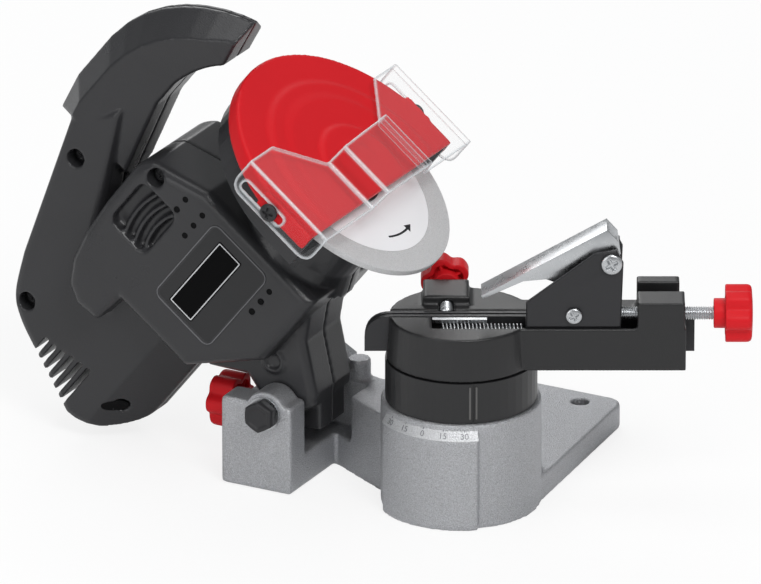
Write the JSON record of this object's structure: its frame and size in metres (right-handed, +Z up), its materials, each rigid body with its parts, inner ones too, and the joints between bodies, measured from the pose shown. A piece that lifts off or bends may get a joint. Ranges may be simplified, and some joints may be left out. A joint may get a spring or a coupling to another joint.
{
  "type": "electric chainsaw sharpener",
  "caption": "Bench chainsaw sharpener: a tilting motor head with a guarded grinding wheel over a turning chain vise with a stop pawl and red knobs.",
  "frame": {"origin": "middle of the machine's outline box at the underside of its base", "axes": "+X runs from the tilting head to the chain vise, +Y from the operator to the bench plate, +Z up; at rest the head is raised and the vise is turned 28 degrees"},
  "size_m": [0.3344, 0.178, 0.2067],
  "materials": {
    "cast_metal": "cast, rough",
    "charcoal_plastic": "fine grain",
    "black_plastic": "satin",
    "red_plastic": "glossy moulded",
    "clear_plastic": "clear",
    "abrasive": "gritty bonded abrasive",
    "bright_steel": "zinc plated",
    "black_steel": "blackened"
  },
  "bodies": {
    "base": {"base_casting": "cast_metal", "pivot_bolt": "black_steel", "pivot_washer_front": "bright_steel", "pivot_washer_rear": "bright_steel", "pivot_nut": "bright_steel", "torsion_spring": "bright_steel"},
    "depth_rod": {"depth_screw": "bright_steel"},
    "depth_turner": {"depth_knob": "red_plastic"},
    "head": {"housing_front": "charcoal_plastic", "housing_rear": "charcoal_plastic", "housing_screw_1": "black_steel", "housing_screw_2": "black_steel", "housing_screw_3": "black_steel", "motor_can": "bright_steel", "rear_bearing": "bright_steel", "front_bearing": "bright_steel", "guard_back": "charcoal_plastic", "guard_cover": "red_plastic", "visor_screw_front": "black_steel", "visor_screw_rear": "black_steel", "switch_frame": "black_plastic", "cord_gland": "black_plastic"},
    "spinner": {"armature": "bright_steel", "fan": "black_plastic", "rear_flange": "bright_steel", "grinding_wheel": "abrasive", "front_flange": "black_steel", "spindle_nut": "bright_steel"},
    "visor": {"visor": "clear_plastic"},
    "rocker": {"switch_rocker": "red_plastic"},
    "vise": {"turntable_lower": "black_plastic", "turntable_bolt": "bright_steel", "vise_body": "black_plastic", "rail_front": "black_steel", "rail_insert": "bright_steel", "return_spring": "bright_steel"},
    "lock": {"lock_knob": "black_plastic"},
    "jaw": {"rail_rear": "black_steel", "clamp_screw": "bright_steel"},
    "clamp_turner": {"clamp_knob": "red_plastic"},
    "carriage": {"stop_bracket": "black_steel", "stop_rod": "bright_steel", "pawl_screw": "bright_steel", "shoe_screw": "bright_steel", "pawl_nut": "bright_steel"},
    "stop_turner": {"stop_knob": "red_plastic"},
    "pawl": {"pawl": "bright_steel"}
  },
  "joints": [
    {"name": "head_tilt", "type": "hinge", "parent": "base", "child": "head", "pos_m": [-0.03257, -0.02, 0.037], "axis": [0, 1, 0], "range_deg": [0, 11.5]},
    {"name": "wheel_spin", "type": "hinge", "parent": "head", "child": "spinner", "pos_m": [-0.00828, -0.02, 0.13635], "axis": [0.6239, 0, 0.7815], "continuous": true},
    {"name": "visor_slide", "type": "slide", "parent": "head", "child": "visor", "axis": [0.7815, 0, -0.6239], "range_m": [-0.004, 0.014]},
    {"name": "switch_rock", "type": "hinge", "parent": "head", "child": "rocker", "pos_m": [-0.06574, 0.0126, 0.09163], "axis": [0.6239, 0, 0.7815], "range_deg": [0, 9]},
    {"name": "depth_slide", "type": "slide", "parent": "base", "child": "depth_rod", "axis": [1, 0, 0], "range_m": [-0.006, 0]},
    {"name": "depth_knob_turn", "type": "hinge", "parent": "depth_rod", "child": "depth_turner", "pos_m": [-0.06357, -0.02, 0.025], "axis": [1, 0, 0], "range_deg": [-2160, 0]},
    {"name": "vise_swivel", "type": "hinge", "parent": "base", "child": "vise", "pos_m": [0.04643, -0.02, 0.06], "axis": [0, 0, 1], "range_deg": [-63, 7]},
    {"name": "lock_knob_turn", "type": "hinge", "parent": "vise", "child": "lock", "pos_m": [0.04643, -0.02, 0.02], "axis": [0, 0, 1], "range_deg": [0, 180]},
    {"name": "jaw_slide", "type": "slide", "parent": "vise", "child": "jaw", "axis": [-0.4695, 0.8829, 0], "range_m": [-0.001, 0.001]},
    {"name": "clamp_knob_turn", "type": "hinge", "parent": "jaw", "child": "clamp_turner", "pos_m": [0.02285, 0.0105, 0.0857], "axis": [-0.4695, 0.8829, 0], "range_deg": [-360, 360]},
    {"name": "carriage_slide", "type": "slide", "parent": "vise", "child": "carriage", "axis": [0.8829, 0.4695, 0], "range_m": [-0.005, 0.006], "deforming": ["return_spring"]},
    {"name": "stop_knob_turn", "type": "hinge", "parent": "carriage", "child": "stop_turner", "pos_m": [0.15266, 0.02516, 0.091], "axis": [0.8829, 0.4695, 0], "range_deg": [-1800, 2160]},
    {"name": "pawl_lift", "type": "hinge", "parent": "carriage", "child": "pawl", "pos_m": [0.1059, 0.00596, 0.1167], "axis": [-0.4695, 0.8829, 0], "range_deg": [0, 70]}
  ],
  "couplings": [
    {"joint": "depth_knob_turn", "follows": "depth_slide", "rad_per_m": 6283.2},
    {"joint": "clamp_knob_turn", "follows": "jaw_slide", "rad_per_m": 6283.2},
    {"joint": "stop_knob_turn", "follows": "carriage_slide", "rad_per_m": 6283.2}
  ]
}
